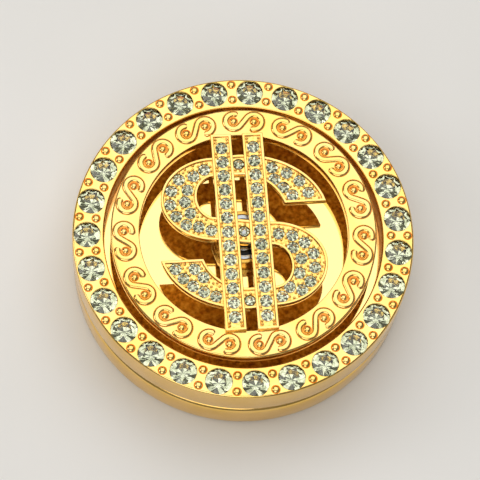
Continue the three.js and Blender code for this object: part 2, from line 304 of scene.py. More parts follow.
# %% Polished gold plate
def make_gold_plate():
    material, tree, shader = new_material("Polished gold plate", Metallic=1.0)
    place = node(tree, "ShaderNodeTexCoord", "Object")
    patches = node(
        tree, "ShaderNodeTexNoise", "Fac", {"Vector": place, "Scale": 1 / (5 * MM), "Detail": 3.0}
    )
    stops = [(0.35, "#F3C86C"), (0.65, "#F8CF80")]
    colour = node(tree, "ShaderNodeValToRGB", "Color", {"Fac": patches}, stops)
    haze = node(
        tree, "ShaderNodeTexNoise", "Fac", {"Vector": place, "Scale": 1 / (0.7 * MM), "Detail": 4.0}
    )
    spread = {"From Min": 0.3, "From Max": 0.7, "To Min": 0.1, "To Max": 0.2}
    rough = node(tree, "ShaderNodeMapRange", "Result", {"Value": haze, **spread})
    swell = node(
        tree, "ShaderNodeTexNoise", "Fac", {"Vector": place, "Scale": 1 / (0.9 * MM), "Detail": 2.0}
    )
    relief = node(tree, "ShaderNodeBump", "Normal", {"Height": swell, "Distance": 0.007 * MM})
    connect(tree, shader, Base_Color=colour, Roughness=rough, Normal=relief)
    return material


gold_plate = make_gold_plate()

# %% [markdown]
# In the trenches round the scrolls and on the wall of the well, a darker and browner gold is painted on as
# shade in these recesses. It gives the eye the dark line that makes each ornament stand out.


# %% Gold with painted recess shade
def make_mottled(name, stops, patch, patch_detail, grit=0, grit_detail=3.0, depth=0, **settings):
    """Colours in patches of a real size, and the skin's own grit as relief. Sizes are in metres."""
    material, tree, shader = new_material(name, **settings)
    place = node(tree, "ShaderNodeTexCoord", "Object")
    patches = node(
        tree, "ShaderNodeTexNoise", "Fac", {"Vector": place, "Scale": 1 / patch, "Detail": patch_detail}
    )
    colour = node(tree, "ShaderNodeValToRGB", "Color", {"Fac": patches}, stops)
    connect(tree, shader, Base_Color=colour)
    if grit:
        skin = node(
            tree, "ShaderNodeTexNoise", "Fac", {"Vector": place, "Scale": 1 / grit, "Detail": grit_detail}
        )
        relief = node(tree, "ShaderNodeBump", "Normal", {"Height": skin, "Distance": depth})
        connect(tree, shader, Normal=relief)
    return material


# The darker, browner colours below are painted shade for the recesses, not a finish of the metal.
recess_shade_gold = make_mottled(
    "Gold with painted recess shade",
    [(0.3, "#CC7E2C"), (0.75, "#F2B458")],
    0.35 * MM,
    3.0,
    grit=0.15 * MM,
    depth=0.02 * MM,
    Metallic=1.0,
    Roughness=0.28,
)

# %% [markdown]
# The floor between the small stones is bright, but a beading tool has left it uneven. Its marks would be
# about a third of a millimetre wide, and are drawn a little wider so that they show. The cells of a Voronoi
# texture give them soft tops, their valleys are painted a little browner as painted shade, and the grains
# themselves are modelled.


# %% Beaded gold ground
def make_beaded_gold():
    material, tree, shader = new_material("Beaded gold ground", Metallic=1.0, Roughness=0.22)
    place = node(tree, "ShaderNodeTexCoord", "Object")
    pattern = {"Vector": place, "Scale": 1 / (0.42 * MM), "Randomness": 0.8}
    distance = node(tree, "ShaderNodeTexVoronoi", "Distance", pattern)
    # The darker, browner colour towards the cell edges is painted shade in the valleys between the marks.
    stops = [(0.3, "#F8D27C"), (0.65, "#F3C56A"), (0.9, "#DCA24A")]
    colour = node(tree, "ShaderNodeValToRGB", "Color", {"Fac": distance}, stops)
    mound = node(tree, "ShaderNodeMath", "Value", {0: 1.0, 1: distance}, operation="SUBTRACT")
    relief = node(tree, "ShaderNodeBump", "Normal", {"Height": mound, "Distance": 0.02 * MM})
    connect(tree, shader, Base_Color=colour, Normal=relief)
    return material


beaded_gold = make_beaded_gold()

# %% [markdown]
# Backs that nobody polishes keep the skin of the mould: matt, sandy and mottled, with the plate's colour a
# little redder. Seen in the mirror plate, and lit only from below, they turn a deep warm brown.


# %% As-cast gold
cast_gold = make_mottled(
    "As-cast gold back",
    [(0.32, "#A87644"), (0.5, "#DCA862"), (0.68, "#FCDA9E")],
    0.6 * MM,
    5.0,
    grit=0.12 * MM,
    grit_detail=4.0,
    depth=0.05 * MM,
    Metallic=1.0,
    Roughness=0.48,
)

# %% [markdown]
# The plate under the spinner is the only true mirror. Lapped brass sheet with a bright plate on it gives an
# almost sharp reflection of the dollar's back, with a few faint wipe marks.


# %% Lapped mirror gold
def make_mirror_gold():
    material, tree, shader = new_material(
        "Lapped mirror gold", Metallic=1.0, Base_Color=linear("#FBDA8C")
    )
    place = node(tree, "ShaderNodeTexCoord", "Object")
    wipes = node(
        tree, "ShaderNodeTexNoise", "Fac", {"Vector": place, "Scale": 1 / (3 * MM), "Detail": 5.0}
    )
    spread = {"From Min": 0.35, "From Max": 0.8, "To Min": 0.02, "To Max": 0.09}
    rough = node(tree, "ShaderNodeMapRange", "Result", {"Value": wipes, **spread})
    connect(tree, shader, Roughness=rough)
    return material


mirror_gold = make_mirror_gold()

# %% [markdown]
# A chaton is clear lead-free crystal with a silvered back. Light goes in through the cut crown, strikes the
# foil inside the point and comes out again, so the crown is glass and the pavilion a mirror. A trace of green
# is in the glass, and the foil has a grey lacquer over it.


# %% Crystal and its foil
crystal, _, _ = new_material(
    "Cut crystal", Roughness=0.0, IOR=1.56, Transmission_Weight=1.0, Base_Color=linear("#F8FAF2")
)
foil = make_mottled(
    "Silver foil backing",
    [(0.35, "#C6C9B6"), (0.65, "#F3F4E6")],
    0.8 * MM,
    1.0,
    Metallic=1.0,
    Roughness=0.06,
)

# %% [markdown]
# The working parts are plain engineering metals. Bearing steel is ground, so it carries fine rings about its
# axis. The cup, cage and nut are turned brass. Screws are zinc-plated, bluish and a little cloudy, and the
# magnet has a bright, slightly orange-peeled nickel skin.


# %% Working metals
def make_turned(name, low, high, ring_width, roughness):
    """A turned or ground metal: rings round Z, ring_width metres apart, seen as fine lines."""
    material, tree, shader = new_material(name, Metallic=1.0, Roughness=roughness)
    place = node(tree, "ShaderNodeTexCoord", "Object")
    lines = node(
        tree,
        "ShaderNodeTexWave",
        "Fac",
        {"Vector": place, "Scale": 0.314 / ring_width, "Distortion": 0.4, "Detail": 1.0},
        wave_type="RINGS",
        rings_direction="Z",
    )
    colour = node(tree, "ShaderNodeValToRGB", "Color", {"Fac": lines}, [(0.2, low), (0.8, high)])
    relief = node(tree, "ShaderNodeBump", "Normal", {"Height": lines, "Distance": 0.004 * MM})
    connect(tree, shader, Base_Color=colour, Normal=relief)
    return material


def make_plated(name, low, high, cloud, roughness):
    """A plated skin: clouds of that size in metres, over a faint orange peel."""
    stops = [(0.35, low), (0.65, high)]
    skin = {"grit": 0.3 * MM, "depth": 0.006 * MM}
    return make_mottled(name, stops, cloud, 4.0, **skin, Metallic=1.0, Roughness=roughness)


bearing_steel = make_turned("Ground bearing steel", "#85898C", "#C2C5C7", 0.12 * MM, 0.16)
turned_brass = make_turned("Turned brass", "#B98C36", "#DDB55C", 0.15 * MM, 0.24)
zinc_plate = make_plated("Zinc-plated steel", "#8B9097", "#B7BCC1", 1.2 * MM, 0.34)
nickel_plate = make_plated("Bright nickel plate", "#ABABA8", "#D2D0CA", 2.5 * MM, 0.14)

# %% [markdown]
# ## Finishes on the frame's own parts
# The balls, cage, fasteners, magnet and plate keep the frame's shapes. Each node takes its finish by the slot
# that the record names. The nodes that are replaced further on are dressed too, because it does no harm.

# %% Dress the frame's parts
slot_finish = {
    "gold_plated_casting": gold_plate,
    "mirror_gold_plate": mirror_gold,
    "crystal": crystal,
    "bearing_steel": bearing_steel,
    "turned_brass": turned_brass,
    "zinc_plated_steel": zinc_plate,
    "nickel_plated_magnet": nickel_plate,
}
for part in frame["record"]["subparts"]:
    mesh = frame["nodes"][part["node"]].data
    mesh.materials.clear()
    mesh.materials.append(slot_finish[part["material_slot"]])

# %% [markdown]
# ## Cutting a stone
# A lapidary starts from a round blank and grinds one flat at a time, turning the stone between cuts. The same
# can be done here: a cylinder is the blank, and each facet is a bisect that keeps the inner side and fills
# the cut. A facet is given by its slope and the point on the stone that it must pass through. The bisect's
# own threshold is a tenth of a millimetre, far too coarse for work of this size, so a finer one is given.

# %% The facet grinder
TABLE_SHARE = 0.56
CLOSE = 1e-7


def grind(slope, turns, reach, height):
    """Cuts one ring of facets: slope in degrees from level, through a point reach out and height up."""
    tilt = math.radians(slope)
    for turn in turns:
        across = math.sin(tilt)
        outward = Vector((across * math.cos(turn), across * math.sin(turn), math.cos(tilt)))
        through = Vector((reach * math.cos(turn), reach * math.sin(turn), height))
        bpy.ops.mesh.select_all(action="SELECT")
        bpy.ops.mesh.bisect(
            plane_co=through, plane_no=outward, use_fill=True, clear_outer=True, threshold=CLOSE
        )


def ring_of(count, start=0.0):
    return [2 * math.pi * (k + start) / count for k in range(count)]


def cut_stone(name, radius, crown, girdle, pavilion, fine):
    """A round stone with its girdle's foot at height 0. A fine one has sixteen more facets on its crown."""
    clear_selection()
    bpy.ops.mesh.primitive_cylinder_add(
        vertices=32 if fine else 16,
        radius=radius,
        depth=crown + pavilion,
        location=(0, 0, (crown - pavilion) / 2),
    )
    stone = new_piece(name)
    bpy.ops.object.mode_set(mode="EDIT")
    table = TABLE_SHARE * radius
    main = math.degrees(math.atan2(crown - girdle, radius - table))
    back = math.degrees(math.atan2(pavilion, radius))
    grind(main, ring_of(8), radius, girdle)
    grind(main - 14, ring_of(8, 0.5), table * math.cos(math.pi / 8), crown)
    grind(180 - back, ring_of(8), radius, 0)
    if fine:
        grind(main + 5, ring_of(16, 0.5), radius * 0.985, girdle)
    bpy.ops.mesh.select_all(action="SELECT")
    bpy.ops.mesh.remove_doubles(threshold=0.0005 * MM)
    bpy.ops.object.mode_set(mode="OBJECT")
    stone.data.materials.append(crystal)
    stone.data.materials.append(foil)
    for face in stone.data.polygons:
        face.use_smooth = False
        face.material_index = 1 if face.normal.z < -0.3 else 0
    print(name, "facets", len(stone.data.polygons))
    return stone


# %% [markdown]
# ## The base
# The lower tier is a shallow tray. Its wall steps in at the top to make the dark groove, and its floor has a
# pocket for the magnet and counterbores for four screws. It could stay as the frame has it, but a lathe makes
# it truly round, with soft edges that carry a highlight.

# %% Turn the base
BASE_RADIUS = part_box("base_shell")[1].x
TIER_TOP = BASE_TOP - 1.5 * MM
NECK_RADIUS = BASE_RADIUS - 1.1 * MM
WALL = 1.6 * MM
EDGE = 1.0 * MM

magnet_low, magnet_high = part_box("clip_magnet")
POCKET = magnet_high.x + 0.1 * MM
BOSS_TOP = magnet_high.z + 1.1 * MM

base = turned(
    "base_tray",
    [
        (0, 0, 0),
        (BASE_RADIUS, 0, EDGE),
        (BASE_RADIUS, TIER_TOP, EDGE),
        (NECK_RADIUS, TIER_TOP, 0.1 * MM),
        (NECK_RADIUS, BASE_TOP, 0),
        (NECK_RADIUS - WALL, BASE_TOP, 0),
        (NECK_RADIUS - WALL, WALL, 0.4 * MM),
        (POCKET + MM, WALL, 0),
        (POCKET + MM, BOSS_TOP, 0.2 * MM),
        (0, BOSS_TOP, 0),
    ],
)

# %% [markdown]
# The magnet's pocket and the screws' stepped holes open in the underside. Each could be inset and pushed in
# from the floor, but a turned drill and a boolean leave a round hole in one go, with its step already in it.

# %% Drill it for the magnet and the screws
screw_boxes = [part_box(f"base_screw_{k}") for k in range(1, 5)]
pocket_top = magnet_high.z + 0.1 * MM
pocket = [(0, -MM, 0), (POCKET, -MM, 0), (POCKET, pocket_top, 0), (0, pocket_top, 0)]
tools = [turned("drill", pocket, 96)]
for low, high in screw_boxes:
    middle = (low + high) / 2
    head = (high.x - low.x) / 2 + 0.15 * MM
    seat = 0.95 * MM
    shank = 1.01 * MM
    profile = [
        (0, -MM, 0),
        (head, -MM, 0),
        (head, seat, 0),
        (shank, seat, 0),
        (shank, 2 * WALL, 0),
        (0, 2 * WALL, 0),
    ]
    tools.append(turned("drill", profile, 48, (middle.x, middle.y)))
cut(base, join(tools, "drills"))
wear(base, gold_plate)
smooth(base)
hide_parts("base_shell")
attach(base, "body")
print("base faces", len(base.data.polygons))

# %% [markdown]
# ## The rim
# The upper tier is one casting: a well with a thick rim. Twenty-seven stone seats are drilled into the rim,
# and between each two of them a pair of small pearls stands in its own dimple. The casting's body comes off
# the lathe first, plain, with the well open down to the plate.

# %% Turn the rim and its floor
stone_low, stone_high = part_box("rim_stone_27")
STONE_RADIUS = 1.95 * MM
STONE_COUNT = 27
STONE_CIRCLE = math.hypot((stone_low.x + stone_high.x) / 2, (stone_low.y + stone_high.y) / 2)
WELL_RADIUS = PLATE_RADIUS + 0.1 * MM
NUT_HOLE = 3.26 * MM
RIM_PAVILION = 1.68 * MM
GIRDLE_LIFT = 0.13 * MM
girdle_height = stone_low.z + 1.5 * MM

rim = turned(
    "rim_casting",
    [
        (NUT_HOLE, BASE_TOP, 0),
        (BEZEL_RADIUS, BASE_TOP, 0.8 * MM),
        (BEZEL_RADIUS, RIM_TOP, 0.35 * MM),
        (WELL_RADIUS, RIM_TOP, 0.3 * MM),
        (WELL_RADIUS, PLATE_LOW, 0),
        (NUT_HOLE, PLATE_LOW, 0),
    ],
)
print("stone circle", round(STONE_CIRCLE / MM, 2), "mm, girdle at", round(girdle_height / MM, 2))

# %% [markdown]
# A setter opens each seat with a burr that has the stone's own shape, so a turned burr is copied to every
# place and the whole set is cut away at once. A boolean fails where its tools touch each other, so each burr
# stands clear of its neighbours. Afterwards the wall of the well is given the gold with painted recess shade.

# %% Drill the seats and dimples
PEARL = 0.6 * MM
PEARL_CIRCLES = (24.1 * MM, 21.66 * MM)
half_pitch = math.pi / STONE_COUNT

seat = STONE_RADIUS + 0.02 * MM
burr = turned(
    "burr",
    [
        (0, girdle_height - 1.6 * MM, 0),
        (seat, girdle_height - 0.03 * MM, 0),
        (seat, RIM_TOP - 0.05 * MM, 0),
        (seat + 0.1 * MM, RIM_TOP + 0.05 * MM, 0),
        (seat + 0.1 * MM, RIM_TOP + MM, 0),
        (0, RIM_TOP + MM, 0),
    ],
    48,
)
dimple = turned(
    "dimple",
    [
        (0, RIM_TOP - 0.18 * MM, 0),
        (PEARL + 0.01 * MM, RIM_TOP - 0.18 * MM, 0.08 * MM),
        (PEARL + 0.09 * MM, RIM_TOP + 0.02 * MM, 0),
        (PEARL + 0.09 * MM, RIM_TOP + MM, 0),
        (0, RIM_TOP + MM, 0),
    ],
    24,
)
tools = []
for k in range(STONE_COUNT):
    turn = (2 * k + 1) * half_pitch
    tools.append(copy_to(burr, "burr_copy", around(STONE_CIRCLE, turn)))
    tools += [copy_to(dimple, "dimple_copy", around(r, turn + half_pitch)) for r in PEARL_CIRCLES]
for tool in (burr, dimple):
    bpy.data.objects.remove(tool)
wear(rim, gold_plate)
carve(rim, tools, gold_plate)
# The well's wall gets the darker gold, as painted shade in the recess.
rim.data.materials.append(recess_shade_gold)
for face in rim.data.polygons:
    if math.hypot(face.center.x, face.center.y) < WELL_RADIUS + 0.05 * MM and face.center.z > PLATE_TOP:
        face.material_index = len(rim.data.materials) - 1
print("rim faces", len(rim.data.polygons), "finishes", [m.name for m in rim.data.materials])

# %% [markdown]
# Under the floor stand four tapped bosses for the base's screws. They hide inside the base, but the part
# comes apart, so they're made too.

# %% Bosses under the rim's floor
BOSS_LOW = 1.72 * MM
bosses = []
for low, high in screw_boxes:
    middle = (low + high) / 2
    profile = [
        (1.01 * MM, BOSS_LOW, 0),
        (2.0 * MM, BOSS_LOW, 0.2 * MM),
        (2.0 * MM, BASE_TOP + 0.2 * MM, 0),
        (1.01 * MM, BASE_TOP + 0.2 * MM, 0),
    ]
    bosses.append(turned("boss", profile, 48, (middle.x, middle.y)))
for boss in bosses:
    wear(boss, cast_gold)
rim = join([rim, *bosses], "rim_casting")
smooth(rim)
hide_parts("bezel_housing")
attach(rim, "body")

# %% [markdown]
# A pearl is a little dome that the mould leaves in each dimple. A UV sphere is cut at its waist, so that only
# the upper half is copied.


# %% The pearls
def dome(name, radius, segments, rings, height):
    """An upright half ball on the plane z = 0, height metres tall, with a short straight skirt below."""
    clear_selection()
    bpy.ops.mesh.primitive_uv_sphere_add(segments=segments, ring_count=rings, radius=radius)
    piece = new_piece(name)
    piece.data.transform(Matrix.Diagonal((1, 1, height / radius, 1)))
    bpy.ops.object.mode_set(mode="EDIT")
    bpy.ops.mesh.select_all(action="SELECT")
    bpy.ops.mesh.bisect(
        plane_co=(0, 0, 0), plane_no=(0, 0, -1), use_fill=True, clear_outer=True, threshold=CLOSE
    )
    select_faces(lambda face: face.normal.z < -0.9)
    bpy.ops.mesh.extrude_region_move(TRANSFORM_OT_translate={"value": (0, 0, -0.2 * radius)})
    bpy.ops.object.mode_set(mode="OBJECT")
    wear(piece, gold_plate)
    return piece


pearl = dome("pearl", PEARL, 20, 12, 0.38 * MM)
lift = Matrix.Translation((0, 0, RIM_TOP - 0.12 * MM))
pearls = []
for k in range(STONE_COUNT):
    for r in PEARL_CIRCLES:
        pearls.append(copy_to(pearl, "pearl_copy", lift @ around(r, 2 * k * half_pitch)))
bpy.data.objects.remove(pearl)
rim_pearls = join(pearls, "rim_pearls")
smooth(rim_pearls, 50)
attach(rim_pearls, "body")
print("pearls", 2 * STONE_COUNT, "faces", len(rim_pearls.data.polygons))

# %% [markdown]
# The rim's stones have a second row of facets on the crown, and each one is its own piece in the place of the
# frame's plain stone. Each is turned differently in its seat, as a setter would leave it.

# %% Set the rim's crystals
STONE_TURN = 2.4
blank = cut_stone("rim_crystal", STONE_RADIUS, 0.64 * MM, 0.1 * MM, RIM_PAVILION, True)
for k in range(STONE_COUNT):
    turn = (2 * k + 1) * half_pitch
    own_turn = Matrix.Rotation(STONE_TURN * k, 4, "Z")
    place = Matrix.Translation((0, 0, girdle_height + GIRDLE_LIFT)) @ around(STONE_CIRCLE, turn) @ own_turn
    stone = copy_to(blank, f"rim_crystal_{k + 1:02d}", place)
    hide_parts(f"rim_stone_{k + 1:02d}")
    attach(stone, "body")
bpy.data.objects.remove(blank)

# %% [markdown]
# ## The ornamented ring
# The ring is a flat band whose face is worked with fifteen S-shaped scrolls, and each scroll curls round two
# pearls. It could be one displaced surface, but real cuts and real domes catch the light far better. First a
# shallow trench is cut along every scroll and a pit under every pearl, then the scroll's own rounded band is
# laid in the trench.

# %% Turn the ring
RING_INNER = RING_RADIUS - 4.15 * MM
SCROLL_CIRCLE = (RING_RADIUS + RING_INNER) / 2 + 0.1 * MM
SCROLL_COUNT = 15
SCROLL_START = math.radians(4.2)
ring = turned(
    "ring_band",
    [
        (RING_INNER, RING_LOW, 0.15 * MM),
        (RING_RADIUS, RING_LOW, 0.3 * MM),
        (RING_RADIUS, RING_TOP, 0.3 * MM),
        (RING_INNER, RING_TOP, 0.15 * MM),
    ],
    240,
)

# %% [markdown]
# The scroll's path is two part-circles joined by the straight line that touches both of them. The line's
# slope follows from the circles' radius and distance, so the curve has no kink.

# %% Draw the scroll's path
LOOP_RADIUS = 1.2 * MM
LOOP_OFFSET = 1.5 * MM
HOOK_START = math.radians(62)


def scroll_path(steps=18):
    """Points of one scroll, drawn about the origin with its length along X."""
    slope = math.asin(LOOP_RADIUS / LOOP_OFFSET)
    leave = slope - math.pi / 2 + 2 * math.pi
    points = []
    for k in range(steps + 1):
        angle = HOOK_START + (leave - HOOK_START) * k / steps
        x = LOOP_RADIUS * math.cos(angle) - LOOP_OFFSET
        points.append(Vector((x, LOOP_RADIUS * math.sin(angle), 0)))
    return points + [-p for p in reversed(points)]


# %% [markdown]
# A curve with a round bevel gives a tube along that path. Flattened in height, it is either the trench's tool
# or the scroll's own band.


# %% Make a band along the path
def scroll_band(name, width, height, sides):
    clear_selection()
    curve = bpy.data.curves.new(name, "CURVE")
    curve.dimensions = "3D"
    curve.bevel_depth = width / 2
    curve.bevel_resolution = sides
    curve.use_fill_caps = True
    points = scroll_path()
    spline = curve.splines.new("POLY")
    spline.points.add(len(points) - 1)
    for target, point in zip(spline.points, points):
        target.co = (*point, 1)
    spline.points[0].radius = spline.points[-1].radius = 0.62
    piece = bpy.data.objects.new(name, curve)
    bpy.context.collection.objects.link(piece)
    only(piece)
    bpy.ops.object.convert(target="MESH")
    piece.data.transform(Matrix.Diagonal((1, 1, height / width * 2, 1)))
    bpy.ops.object.mode_set(mode="EDIT")
    bpy.ops.mesh.select_all(action="SELECT")
    bpy.ops.mesh.remove_doubles(threshold=0.001 * MM)
    bpy.ops.mesh.normals_make_consistent(inside=False)
    bpy.ops.object.mode_set(mode="OBJECT")
    return piece


# %% [markdown]
# The trench is only a little wider than the scroll, so what stays open beside it is the thin dark line that
# the eye reads as its outline. That line is real shade in the trench together with the painted shade of the
# darker gold on its walls. The trenches and the pearls' pits all but touch, so they are cut in two
# passes.

# %% Cut the trenches and dimples
trench = scroll_band("trench", 1.06 * MM, 0.2 * MM, 2)
pit = turned(
    "pit",
    [
        (0, -0.18 * MM, 0),
        (0.56 * MM, -0.18 * MM, 0),
        (0.66 * MM, 0.05 * MM, 0),
        (0.66 * MM, MM, 0),
        (0, MM, 0),
    ],
    24,
)
trenches = []
pits = []
for k in range(SCROLL_COUNT):
    turn = 2 * math.pi * k / SCROLL_COUNT + SCROLL_START
    place = Matrix.Translation((0, 0, RING_TOP)) @ around(SCROLL_CIRCLE, turn)
    trenches.append(copy_to(trench, "trench_copy", place))
    for side in (-1, 1):
        pits.append(copy_to(pit, "pit_copy", place @ Matrix.Translation((side * LOOP_OFFSET, 0, 0))))
for tool in (trench, pit):
    bpy.data.objects.remove(tool)
wear(ring, gold_plate)
# The trench walls take the darker gold, as painted shade in the cuts.
carve(ring, trenches, recess_shade_gold)
carve(ring, pits, gold_plate)
print("ring faces", len(ring.data.polygons))

# %% [markdown]
# The ring's underside is never polished. It shows all the same, upside down in the mirror plate, and its
# brown is what makes the gaps round the letter look deep.

# %% Give the ring its cast back
ring.data.materials.append(cast_gold)
for face in ring.data.polygons:
    if face.normal.z < -0.7:
        face.material_index = len(ring.data.materials) - 1
print("ring finishes", [m.name for m in ring.data.materials])
smooth(ring)
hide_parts("spinner_ring")
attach(ring, "spinner")

# %% [markdown]
# One scroll and one pearl are made, and every other is a copy. The band lies half in its trench, so that its
# top catches the light and its flanks go dark.

# %% Lay the scrolls and their pearls
band = scroll_band("band", 0.94 * MM, 0.26 * MM, 4)
wear(band, gold_plate)
pearl = dome("ring_pearl", 0.54 * MM, 20, 12, 0.4 * MM)
scrolls = []
pearls = []
for k in range(SCROLL_COUNT):
    turn = 2 * math.pi * k / SCROLL_COUNT + SCROLL_START
    place = Matrix.Translation((0, 0, RING_TOP - 0.05 * MM)) @ around(SCROLL_CIRCLE, turn)
    scrolls.append(copy_to(band, "scroll_copy", place))
    for side in (-1, 1):
        spot = Matrix.Translation((side * LOOP_OFFSET, 0, -0.04 * MM))
        pearls.append(copy_to(pearl, "pearl_copy", place @ spot))
for tool in (band, pearl):
    bpy.data.objects.remove(tool)
ring_scrolls = join(scrolls, "ring_scrolls")
ring_pearls = join(pearls, "ring_pearls")
for piece in (ring_scrolls, ring_pearls):
    smooth(piece, 50)
    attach(piece, "spinner")
print("scrolls", SCROLL_COUNT, "faces", len(ring_scrolls.data.polygons))

# %% [markdown]
# ## The dollar sign
# The letter's outline is four elliptical arcs on each side of the stroke, and the second side is the first
# turned half round, because an S looks the same either way up. The tips are cut level.

# %% Draw the letter
LETTER = 0.9925 * MM
TIP = 4.07
HOOK_Y = 2.0
HOOK_OUTER = (12.75, 10.15)
HOOK_INNER = (6.6, 6.9)
BOWL = (-3.87, 5.3)
BOWL_OUTER = (8.03, 6.55)
BOWL_INNER = (2.7, 3.25)
BOWL_INNER_Y = 5.6


def arc(x, y, size, start, end, steps):
    """Points along an ellipse, in the letter's own units, angles in degrees."""
    turns = [math.radians(start + (end - start) * k / steps) for k in range(steps + 1)]
    return [Vector((x + size[0] * math.cos(t), y + size[1] * math.sin(t))) for t in turns]


def letter_side():
    """One side of the stroke, from the upper tip's outer corner to the lower tip's inner corner."""
    outer_tip = math.degrees(math.asin((TIP - HOOK_Y) / HOOK_OUTER[1]))
    inner_tip = math.degrees(math.asin((TIP - HOOK_Y) / HOOK_INNER[1]))
    return (
        arc(0, HOOK_Y, HOOK_OUTER, outer_tip, 90, 14)
        + arc(*BOWL, BOWL_OUTER, 90, 270, 30)
        + arc(-BOWL[0], -BOWL_INNER_Y, BOWL_INNER, 90, -90, 16)
        + arc(0, -HOOK_Y, HOOK_INNER, 270, 180 + inner_tip, 10)
    )


side = letter_side()
outline = side + [-p for p in side]
print("letter outline points", len(outline))

# %% [markdown]
# A face is filled inside the outline and extruded up to the plate's thickness. Insetting its top face once
# gives the raised border, and pushing the inner face down sinks the panel for the stones. A small bevel then
# softens every edge.

# %% Cast the letter
DOLLAR_LOW = BAR_TOP - 1.4 * MM
LETTER_TOP = BAR_TOP - 0.2 * MM
BORDER = 0.4 * MM
PANEL_DEPTH = 0.36 * MM


def sink_panel(piece, top):
    """Insets the top face by the border's width and lowers it, then softens the border's edges."""
    only(piece)
    bpy.ops.object.mode_set(mode="EDIT")
    select_faces(lambda face: face.normal.z > 0.9 and abs(face.calc_center_median().z - top) < 0.01 * MM)
    bpy.ops.mesh.inset(thickness=BORDER, use_even_offset=True)
    bpy.ops.mesh.extrude_region_move(TRANSFORM_OT_translate={"value": (0, 0, -PANEL_DEPTH)})
    bpy.ops.object.mode_set(mode="OBJECT")
    modify(piece, "BEVEL", width=0.09 * MM, segments=3, limit_method="ANGLE", angle_limit=math.radians(40))


mesh = bpy.data.meshes.new("letter_plate")
mesh.from_pydata([(*(p * LETTER), DOLLAR_LOW) for p in outline], [], [list(range(len(outline)))])
letter = bpy.data.objects.new("letter_plate", mesh)
bpy.context.collection.objects.link(letter)
only(letter)
bpy.ops.object.mode_set(mode="EDIT")
bpy.ops.mesh.select_all(action="SELECT")
bpy.ops.mesh.remove_doubles(threshold=0.02 * MM)
bpy.ops.mesh.select_all(action="SELECT")
bpy.ops.mesh.extrude_region_move(TRANSFORM_OT_translate={"value": (0, 0, LETTER_TOP - DOLLAR_LOW)})
bpy.ops.mesh.select_all(action="SELECT")
bpy.ops.mesh.normals_make_consistent(inside=False)
bpy.ops.object.mode_set(mode="OBJECT")
sink_panel(letter, LETTER_TOP)
print("letter faces", len(letter.data.polygons))

# %% [markdown]
# The two bars are plain boxes treated in the same way. They cross the letter and lap over the ring at both
# ends. Where they cross it the letter is cut away first, so that its border and panel stop at the bars.

# %% Cast the bars
BAR_WIDTH = 3.07 * MM
BAR_X = 2.34 * MM
slots = []
for x in (-BAR_X, BAR_X):
    clear_selection()
    size = (BAR_WIDTH - 0.06 * MM, 3 * BAR_END, 4 * (BAR_TOP - DOLLAR_LOW))
    bpy.ops.mesh.primitive_cube_add(size=1, location=(x, 0, BAR_TOP), scale=size)
    slots.append(new_piece("slot"))
cut(letter, join(slots, "slots"))
bars = []
for x in (-BAR_X, BAR_X):
    clear_selection()
    bpy.ops.mesh.primitive_cube_add(
        size=1,
        location=(x, 0, (DOLLAR_LOW + BAR_TOP) / 2),
        scale=(BAR_WIDTH, 2 * BAR_END, BAR_TOP - DOLLAR_LOW),
    )
    bars.append(new_piece("bar"))
    sink_panel(bars[-1], BAR_TOP)

# %% [markdown]
# ## Where the small stones sit
# The setter fills the stroke with two rows of stones, one along its outer edge and one along its inner edge.
# Each row is a smaller or larger copy of the arc that bounds the stroke, so a stone is placed by an angle
# along its row, and by how far out of line it stands, as a share of the row's own size. The two halves of the
# letter are set one by one and differ a little.

# %% Lay out the stones
SMALL_RADIUS = 0.88 * MM
BOWL_OUTER_ROW = (BOWL, (6.58, 5.1))
BOWL_INNER_ROW = (BOWL, (4.5, 3.2))
ARM_OUTER_ROW = ((0, HOOK_Y), (11.25, 8.65))
ARM_INNER_ROW = ((0, HOOK_Y), (8.0, 8.3))
bowl_line = ((102, 0.95), (121, 0.87), (140, 1.02), (162, 1.02), (186, 1.02), (208, 1.02), (227.5, 1.02))
UPPER_STONES = [
    (*BOWL_OUTER_ROW, (*bowl_line, (243.5, 0.93), (261.5, 0.97))),
    (*BOWL_INNER_ROW, ((150, 1.03), (184, 1.0), (217, 1.06))),
    (*ARM_OUTER_ROW, ((64.5, 1.01), (52, 1.01), (39.3, 1.01), (25.5, 0.98))),
    (*ARM_INNER_ROW, ((48.5, 0.97), (35.3, 0.97), (23.1, 1.03))),
]
lower_bowl_line = ((98, 1.02), (125, 1.03), (143, 0.99), (169, 0.94), (195, 0.95), (219, 0.95), (240, 0.96))
LOWER_STONES = [
    # drawn upside down and turned into place
    (*BOWL_OUTER_ROW, (*lower_bowl_line, (259, 0.93))),
    (*BOWL_INNER_ROW, ((111.8, 1.27), (148, 0.98), (191, 0.95), (227, 1.01))),
    (*ARM_OUTER_ROW, ((64.7, 1.01), (54.8, 1.01), (44.7, 1.01), (34.1, 1.01), (22.9, 1.01))),
    (*ARM_INNER_ROW, ((36, 1.0), (24, 1.05))),
]


def row_places(rows, sign):
    places = []
    for (x, y), (a, b), spots in rows:
        for turn, share in spots:
            t = math.radians(turn)
            places.append(Vector((x + share * a * math.cos(t), y + share * b * math.sin(t))) * LETTER * sign)
    return places


STONE_PITCH = 2.2 * MM
BAR_SHARE = 1.05
CROSS_SHARE = 0.84
letter_places = row_places(UPPER_STONES, 1) + row_places(LOWER_STONES, -1)
bar_places = [Vector((x, STONE_PITCH * k)) for x in (-BAR_X, BAR_X) for k in range(-6, 7)]
cross_places = [Vector((0, y * MM)) for y in (10.6, 0.0, -10.75)]
nearest = min((p - q).length for i, p in enumerate(letter_places) for q in letter_places[:i])
print("small stones", len(letter_places) + len(bar_places) + len(cross_places))
print("nearest two on the letter", round(nearest / MM, 2), "mm apart")

# %% [markdown]
# Each small seat is a cone with a short straight lip, the shape of the stone's back. All the seats of a plate
# are cut by one boolean, and the rows were spaced so that no two drills meet.

# %% Drill the small seats
LETTER_FLOOR = LETTER_TOP - PANEL_DEPTH
BAR_FLOOR = BAR_TOP - PANEL_DEPTH


